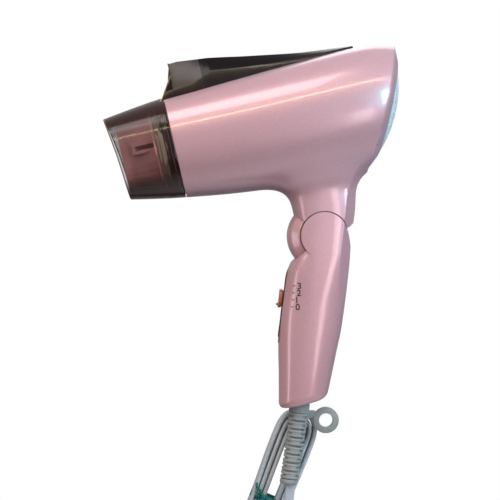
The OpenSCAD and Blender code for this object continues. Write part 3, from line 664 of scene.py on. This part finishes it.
def make_dome():
    """Domed mesh: rows of short slots, staggered from row to row, inside a plain border."""
    ball = (DOME_R**2 + DOME_RISE**2) / (2 * DOME_RISE)
    pitch_u, pitch_v, slot_u, slot_v, border = 3.7, 2.5, 1.25, 0.72, 29.6

    def place(u, v):
        return rear_place(u, v, DOME_RISE - ball + math.sqrt(ball**2 - u * u - v * v))

    verts, faces = [], []
    n = 12
    for j in range(-12, 13):
        for i in range(-9, 10):
            cu, cv = (i + 0.5 * (j % 2)) * pitch_u, j * pitch_v
            if math.hypot(cu, cv) > border - 1:
                continue
            start = len(verts)
            for c, s in ring_points(1.0, 15, 375, n):
                k = 1 / max(abs(c), abs(s))
                verts.append(place(cu + pitch_u / 2 * c * k, cv + pitch_v / 2 * s * k))
                verts.append(place(cu + slot_u * signed_power(c, 0.5), cv + slot_v * signed_power(s, 0.8)))
            for a in range(n):
                b = (a + 1) % n
                faces.append([start + 2 * a, start + 2 * b, start + 2 * b + 1, start + 2 * a + 1])
    start = len(verts)
    band = [[place(r * c, r * s) for c, s in ring_points(1.0, n=96)] for r in (28.4, 30.2, DOME_R - 0.1)]
    verts += [p for ring in band for p in ring]
    faces += [[start + i for i in face] for face in skin(band, False)]
    mesh = edit(new_mesh("dome", verts, faces, False),
                lambda bm: bmesh.ops.remove_doubles(bm, verts=bm.verts, dist=0.02 * MM))
    mesh = baked(outward(mesh), ("SOLIDIFY", {"thickness": 1.2 * MM, "offset": 0}))
    add_object("intake_dome", mesh, "head", WHITE, ("intake_mesh",))
    profile = [(0.1, 0.3), (0.6, 0.7), (1.9, 0.75), (2.2, -2.4), (0.1, -2.4)]
    lip = turned("dome_lip", [(DOME_R - inset, h) for inset, h in profile], rear_place)
    add_object("intake_border", lip, "head", WHITE)


rear_ring = dual("rear_ring", rim_field, (36, -45, 34), (84, 45, 124), FINE)
add_object("rear_ring", rear_ring, "head", PINK, ("rear_rim",))
make_dome()


# ---------------------------------------------------------------- nozzle
def mouth_x(z):
    return -119.6 - 0.108 * (z - 40) + 1.3 * (1 - ((z - 82.3) / 27.7) ** 2)


def nozzle_point(s, a, inset):
    """s runs from the joint to the mouth; a is the angle round the air path."""
    c, d = math.cos(a), math.sin(a)
    x = mix(-84.4, -127.0, s)
    for _ in range(4):
        k = max(0.0, (OUTLET_X - x) / 43)
        n = mix(2.35, 2.6, k)
        hh, hw = mix(34.4, 27.7, k**1.15) - inset, mix(34.4, 25.0, k**1.15) - inset
        y, z = hw * signed_power(c, 2 / n), AIR_Z + 1.4 * k + hh * signed_power(d, 2 / n)
        x = mix(-84.4, mouth_x(z), s)
    return FOLD + np.array([x, y, z])


AROUND = np.linspace(0, 2 * math.pi, 120, endpoint=False)


def nozzle_ring(s, inset):
    return [nozzle_point(s, a, inset) for a in AROUND]


def make_nozzle():
    outer = [nozzle_ring(s, 0.0 if s > 0.01 else 0.4) for s in [0, 0.012, *np.linspace(0.05, 0.97, 16), 0.992]]
    tip = [nozzle_ring(1.0, inset) for inset in (0.35, 1.3)]
    inner = [nozzle_ring(s, 1.65) for s in [0.992, *np.linspace(0.97, 0.0, 17)]]
    rings = outer + tip + inner
    mesh = hoop("nozzle", rings)
    mesh.set_sharp_from_angle(angle=math.radians(50))
    mark = mesh.attributes.new("edge", "FLOAT", "POINT")
    mark.data.foreach_set("value", [abs(math.sin(a)) for _ in rings for a in AROUND])
    add_object("nozzle_wall", mesh, "nozzle", SMOKE, ("nozzle_shell",))
    # thick pale edge of the mouth
    profile = ((0.985, -0.08), (1.002, 0.2), (1.004, 0.9), (1.002, 1.5), (0.985, 1.8))
    edge = hoop("mouth_edge", [nozzle_ring(s, inset) for s, inset in profile])
    add_object("mouth_edge", edge, "nozzle", TAN_DARK)
    # dark sleeve and pale rings just inside the wall at the joint: from, to, outer inset, inner inset
    for name, s0, s1, w0, w1, mat in (
            ("joint_band", 0.01, 0.165, 1.75, 2.3, BAND), ("joint_ring", 0.172, 0.2, 1.72, 2.6, TAN),
            ("joint_line", 0.05, 0.062, 1.68, 1.9, TAN), ("joint_lip", 0.002, 0.014, 0.05, 1.4, BAND)):
        band = [nozzle_ring(s, w) for s, w in ((s0, w1), (s0, w0), (s1, w0), (s1, w1))]
        add_object(name, hoop(name, band), "nozzle", mat)


make_nozzle()


# ---------------------------------------------------------------- ion hood
def hood_front(z):
    return -83.6 + (z - 115) * 13.2 / 21.5


def line(table, x):
    return float(np.interp(x, *zip(*table)))


def barrel_top(x, y):
    top, low = float(curve(TOP_LINE, x)), float(curve(LOW_LINE, x))
    hh = (top - low) / 2
    hw = hh * float(curve(WIDE_LINE, x))
    return (top + low) / 2 + hh * (1 - min(1, abs(y) / hw) ** 2.35) ** (1 / 2.35)


def make_hood():
    stations = [-83.4, -76, -70, -63, -56, -50, -39, -28, -17, -6, 4, 14, 24, 34, 41, 48]
    rows = []
    for i, x0 in enumerate(stations):
        row = []
        for which in range(4):
            x = x0
            for _ in range(3):
                s, f, m, t = line(HOOD_SIDE, x), line(HOOD_FLAT, x), line(HOOD_FOLD, x), line(HOOD_TOP, x)
                foot = barrel_top(x, s)
                m = max(m, foot + 0.25)
                y, z = [(s + 0.5, foot - 0.9), (s, m), (f, max(t, barrel_top(x, f) + 0.45, m)),
                        (0.0, max(t, m) + 0.6)][which]
                if i == 0:
                    x = hood_front(z)
            row.append((x, y, z))
        rows.append(row)
    bm = bmesh.new()
    grid = []
    for row in rows:
        full = [(x, -y, z) for x, y, z in row] + [(x, y, z) for x, y, z in reversed(row[:3])]
        grid.append([bm.verts.new([MM * c for c in FOLD + np.array(p)]) for p in full])
    for a, b in zip(grid, grid[1:]):
        for k in range(6):
            face = bm.faces.new([a[k], a[k + 1], b[k + 1], b[k]])
            face.material_index = 1 if k in (0, 5) else 0
            if b[0].co.x < MM * (FOLD[0] - 55):
                face.material_index = 2
    bmesh.ops.recalc_face_normals(bm, faces=bm.faces)
    mesh = bpy.data.meshes.new("hood")
    bm.to_mesh(mesh)
    bm.free()
    soften = {"width": 0.5 * MM, "segments": 2, "limit_method": "ANGLE", "angle_limit": math.radians(8)}
    mesh = baked(mesh, ("SOLIDIFY", {"thickness": 1.5 * MM, "offset": -1}), ("BEVEL", soften))
    mesh.shade_smooth()
    mesh.set_sharp_from_angle(angle=math.radians(24))
    index = [p.material_index for p in mesh.polygons]
    add_object("hood", mesh, "head", SMOKE_HOOD, ("top_cover",))
    mesh.materials.append(HOOD_LIP)
    mesh.materials.append(BRONZE_DEEP)
    for p, k in zip(mesh.polygons, index):
        p.material_index = k
    # thin bright line round the front edge
    for side in (-1, 1):
        pts = [FOLD + np.array([x - 0.3, side * (y + 0.15), z + 0.2]) for x, y, z in rows[0]]
        path = spline(pts[:2], 6)[:-1] + spline(pts[1:3], 8)[:-1] + spline(pts[2:4], 4)
        add_object(f"hood_edge_{'left' if side < 0 else 'right'}", tube(path, 0.38, 8), "head", GOLD)


make_hood()


# ---------------------------------------------------------------- cord guard and hanging ring
GUARD_F, GUARD_TOP_T, GUARD_END_T, GUARD_R = 2.5, -118.5, -169.5, 6.7


def guard_place(a, b, h):
    """a to the handle's back, b across, h up along the handle."""
    bend = 0.0006 * max(0.0, GUARD_TOP_T - h) ** 2
    return grip_place(h, GUARD_F - a + bend, b)


def guard_link(name, turn, low, high, r):
    """A web that ties one rib of the guard to the next."""
    turns = np.radians(np.linspace(turn - 38, turn + 38, 7))
    rings = [[guard_place(rr * math.cos(a), rr * math.sin(a), h) for rr, h in
              ((4, low), (r, low), (r, high), (4, high))] for a in turns]
    add_object(name, loft("link", rings), "handle", GREY)


def make_guard():
    core = [(0.5, -115), (4.9, -115), (4.9, GUARD_END_T + 0.4), (4.4, GUARD_END_T), (0.5, GUARD_END_T)]
    add_object("guard_core", turned("guard_core", core, guard_place, 40), "handle", GREY, ("strain_relief",))
    ribs = 17
    pitch = (GUARD_TOP_T - 1.6 - GUARD_END_T - 3.6) / (ribs - 1)
    for i in range(ribs):
        h = GUARD_END_T + 4.4 + i * pitch
        r = mix(6.25, GUARD_R, i / ribs)
        rib = [(4, h - 0.85), (r - 0.35, h - 0.85), (r, h - 0.5), (r, h + 0.5), (r - 0.35, h + 0.85),
               (4, h + 0.85)]
        add_object(f"guard_rib_{i:02d}", turned("rib", rib, guard_place, 40), "handle", GREY)
        if i + 1 < ribs:
            for turn in ((0, 180) if i % 2 else (90, 270)):
                guard_link(f"guard_link_{i:02d}_{turn}", turn, h, h + pitch, r - 0.25)
    cap = [(4, 0), (5.6, 0), (6.1, 0.5), (6.1, 2.6), (5.7, 3), (4, 3)]
    cap = turned("guard_cap", [(r, GUARD_END_T + h) for r, h in cap], guard_place, 40)
    add_object("guard_cap", cap, "handle", GREY)
    # collar, level with the handle's end
    rings = []
    for h, r in ((-121, 4), (-121, 6.5), (-120.6, 6.9), (None, 6.9), (None, 4)):
        ring = []
        for c, s in ring_points(r, n=48):
            level = (HANDLE_END - 0.1 - (GUARD_F - c) * math.sin(RAKE)) / math.cos(RAKE)
            ring.append(grip_place(level if h is None else h, GUARD_F - c, s))
        rings.append(ring)
    mesh = hoop("collar", rings)
    mesh.set_sharp_from_angle(angle=math.radians(40))
    add_object("guard_collar", mesh, "handle", GREY)
    at = np.array([-26.0, 0, -122.5])
    profile = [(4.9, -2.3), (8.2, -2.3), (8.8, -1.7), (8.8, 1.7), (8.2, 2.3), (4.9, 2.3), (4.7, 2.0),
               (4.7, -2.0)]
    ring = turned("hang_ring", profile, lambda a, b, h: FOLD + at + np.array([a, h, b]), 64)
    ring.set_sharp_from_angle(angle=math.radians(50))
    add_object("hang_loop", ring, "handle", GREY)
    arm = [(-44, -118.9), (-34, -118.6), (-31.5, -116.2), (-31.5, -114.6), (-36, -113.4), (-44, -113.4)]
    arm = baked(prism(arm, -2.0, 2.0), ("BEVEL", {"width": 0.5 * MM, "segments": 2}))
    add_object("hang_arm", arm, "handle", GREY)


make_guard()


# ---------------------------------------------------------------- switch
def face_place(t, y, out):
    """A point on the handle's front, y across, standing out from the face."""
    f = float(curve(GRIP_FRONT, t))
    b = float(curve(GRIP_BACK, t))
    w, n = float(curve(GRIP_WIDE, t)), float(curve(GRIP_SQUARE, t))
    half = (f + b) / 2
    drop = half - half * (1 - min(1.0, abs(y) / w) ** n) ** (1 / n)
    return grip_place(t, f - drop + out, y)


def pill(half_len, half_wide, n=40):
    """Outline with round ends, (along, across)."""
    r, first = half_wide, 180 / n
    return [(math.copysign(half_len - r, c) + r * c if half_len > r else half_len * c, r * s)
            for c, s in ring_points(1.0, first, 360 + first, n)]


def pill_cap(name, mid, half_len, half_wide, lift, depth, mat, body, replaced=(), flat=None):
    """A rounded cap that follows the handle's face; flat keeps it level at that place's height."""
    outline = pill(half_len, half_wide)
    grow = [(0.985, -depth), (1.0, lift - 0.5), (0.985, lift - 0.12), (0.93, lift)]
    rings = []
    for k, out in grow:
        inset = (1 - k) * half_wide
        ring = []
        for a, c in outline:
            a2, c2 = a * (1 - inset / half_len), c * k
            if flat is None:
                ring.append(face_place(mid + a2, c2, out))
            else:
                ring.append(grip_place(mid + a2, float(curve(GRIP_FRONT, flat)) + out - 0.012 * c2 * c2, c2))
        rings.append(ring)
    mesh = loft(name, rings)
    mesh.set_sharp_from_angle(angle=math.radians(50))
    return add_object(name, mesh, body, mat, replaced)


def make_switch():
    pill_cap("switch_bezel", PLATE_T, PLATE_LEN / 2 - 0.25, PLATE_W - 0.2, 0.3, 1.8, COPPERY, "handle",
             ("switch_plate",))
    pill_cap("switch_track", PLATE_T + 1.0, PLATE_LEN / 2 - 3.2, 2.1, 0.32, 0.3, DARK, "handle")
    pill_cap("switch_cap", KNOB_T, 6.4, 4.4, 2.3, -0.45, COPPERY, "slider", ("switch_slider",), flat=KNOB_T)
    pill_cap("switch_stem", KNOB_T, 5.7, 1.7, 1.2, 0.6, COPPERY, "slider", flat=KNOB_T)
    base = float(curve(GRIP_FRONT, KNOB_T))
    pts = [(-1.1, 1.6), (-0.75, 3.2), (-0.3, 3.55), (0.3, 3.55), (0.75, 3.2), (1.2, 1.6)]
    rings = [[grip_place(KNOB_T - 4.2 + a, base + out - 0.03 * abs(y), y) for a, out in pts]
             for y in np.linspace(-4.3, 4.3, 9)]
    add_object("switch_ridge", loft("ridge", rings), "slider", COPPERY)


make_switch()


# ---------------------------------------------------------------- marks beside the switch
def side_y(x, z):
    """The handle's left side at a place about the fold axis."""
    t, s = grip_local(x, z)
    f, b, w, n = (float(curve(k, t)) for k in (GRIP_FRONT, GRIP_BACK, GRIP_WIDE, GRIP_SQUARE))
    u = min(0.999, abs((s - (b - f) / 2) / ((f + b) / 2)))
    return -w * (1 - u**n) ** (1 / n)


def on_side(mesh, at, lift):
    """Lays a flat mesh, drawn in millimetres, on the handle's side."""
    right, up = np.array([0.974, -0.225]), np.array([0.225, 0.974])
    for v in mesh.vertices:
        x, z = np.array(at) + right * v.co.x + up * v.co.y
        v.co = [MM * c for c in FOLD + np.array([x, side_y(x, z) - lift - v.co.z, z])]
    mesh.update()
    return mesh


def make_marks():
    for i, digit in enumerate("3210"):
        at = np.array([-27.4, -28.2]) + i * np.array([-1.467, -4.467])
        dot = loft("dot", [[(c / MM, 0.42 * s / MM, h) for c, s in ring_points(0.85, n=20)] for h in (0, 50)])
        dot.shade_flat()
        add_object(f"mark_dot_{i}", outward(on_side(dot, at, 0.02)), "handle", PRINT)
        font = bpy.data.curves.new("digit", "FONT")
        font.body, font.size, font.resolution_u = digit, 6.0, 6
        font.extrude, font.offset = 0.03, 0.09
        obj = bpy.data.objects.new("digit", font)
        bpy.context.scene.collection.objects.link(obj)
        bpy.context.view_layer.update()
        mesh = bpy.data.meshes.new_from_object(obj.evaluated_get(bpy.context.evaluated_depsgraph_get()))
        bpy.data.objects.remove(obj)
        low = min(v.co.x for v in mesh.vertices)
        for v in mesh.vertices:
            v.co.x += 2.2 - low
            v.co.y -= 2.1
        add_object(f"mark_digit_{digit}", on_side(mesh, at, 0.05), "handle", PRINT)


make_marks()

# ---------------------------------------------------------------- looks of the pieces kept from the CAD
for node, look in NODE_LOOKS.items():
    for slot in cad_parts[node].material_slots:
        slot.link = "OBJECT"
        slot.material = look

# ---------------------------------------------------------------- stage and light
# name, place, size in metres, power, tint, aim and spread in degrees
LIGHTS = (
    ("key", (-200, -560, 1000), (0.7, 0.4), 4.0, (1, 0.95, 0.92), (0, 0, 80), 180),
    ("strip", (-60, -640, 520), (1.1, 0.025), 1.6, (1, 0.82, 0.5), (0, 0, 80), 180),
    ("cool", (720, -600, 210), (0.15, 0.6), 6.2, (0.6, 0.83, 1), (30, 0, 60), 180),
    ("glow", (330, -520, 180), (0.12, 0.12), 0.032, (0.2, 0.75, 1), (62, 0, 138), 30),
    ("grip", (150, -520, -40), (0.1, 0.3), 0.026, (1, 0.94, 0.98), (2, 0, 5), 40),
    ("left", (-900, -500, 150), (0.2, 0.5), 0.9, (0.92, 0.94, 1), (0, 0, 80), 180),
    ("back", (300, 900, 700), (0.8, 0.8), 3, (1, 1, 1), (0, 0, 80), 180),
)
FLOOR_Z, FLOOR_R = -345.0, 520.0


def make_stage():
    rim = [(x, y, FLOOR_Z) for x, y in ring_points(FLOOR_R, n=64)]
    floor = new_mesh("floor", rim, [range(64)], False)
    obj = bpy.data.objects.new("floor", floor)
    bpy.context.scene.collection.objects.link(obj)
    pale = material("floor_pale", (246, 246, 246), rough=0.9, tone=0.01, bump=0.01)
    nodes, links = pale.node_tree.nodes, pale.node_tree.links
    # the floor's rim fades into the white behind it
    place, fade = nodes.new("ShaderNodeTexCoord"), nodes.new("ShaderNodeMapRange")
    far = nodes.new("ShaderNodeVectorMath")
    far.operation = "LENGTH"
    flat = nodes.new("ShaderNodeVectorMath")
    flat.operation = "MULTIPLY"
    flat.inputs[1].default_value = (1, 1, 0)
    links.new(place.outputs["Object"], flat.inputs[0])
    links.new(flat.outputs["Vector"], far.inputs[0])
    links.new(far.outputs["Value"], fade.inputs["Value"])
    for socket, value in (("From Min", 0.16), ("From Max", 0.5), ("To Min", 0.75), ("To Max", 0.0)):
        fade.inputs[socket].default_value = value
    links.new(fade.outputs["Result"], nodes["Principled BSDF"].inputs["Alpha"])
    floor.materials.append(pale)
    world = bpy.data.worlds.new("world")
    bpy.context.scene.world = world
    world.use_nodes = True
    nodes, links = world.node_tree.nodes, world.node_tree.links
    # plain white behind, and a softer room that is darker below for the light itself
    place, split = nodes.new("ShaderNodeTexCoord"), nodes.new("ShaderNodeSeparateXYZ")
    ramp = nodes.new("ShaderNodeValToRGB")
    links.new(place.outputs["Generated"], split.inputs["Vector"])
    height = nodes.new("ShaderNodeMapRange")
    height.inputs["From Min"].default_value = -1
    links.new(split.outputs["Z"], height.inputs["Value"])
    links.new(height.outputs["Result"], ramp.inputs["Fac"])
    low, high = ramp.color_ramp.elements
    low.position, high.position = 0.3, 0.75
    low.color, high.color = (0.07, 0.056, 0.06, 1), (0.44, 0.425, 0.44, 1)
    room = nodes["Background"]
    links.new(ramp.outputs["Color"], room.inputs["Color"])
    plain = nodes.new("ShaderNodeBackground")
    plain.inputs["Color"].default_value = (1, 1, 1, 1)
    rays, blend = nodes.new("ShaderNodeLightPath"), nodes.new("ShaderNodeMixShader")
    links.new(rays.outputs["Is Camera Ray"], blend.inputs["Fac"])
    links.new(room.outputs["Background"], blend.inputs[1])
    links.new(plain.outputs["Background"], blend.inputs[2])
    links.new(blend.outputs["Shader"], nodes["World Output"].inputs["Surface"])
    for name, at, size, power, tint, aim, spread in LIGHTS:
        data = bpy.data.lights.new(name, "AREA")
        data.shape, data.size, data.size_y = "RECTANGLE", size[0], size[1]
        data.energy, data.color, data.spread = power, tint, math.radians(spread)
        lamp = bpy.data.objects.new(name, data)
        lamp.location = Vector([MM * c for c in at])
        look = Vector([MM * c for c in aim]) - lamp.location
        lamp.rotation_euler = look.to_track_quat("-Z", "Y").to_euler()
        bpy.context.scene.collection.objects.link(lamp)
    bpy.context.scene.view_settings.view_transform = "Standard"


make_stage()
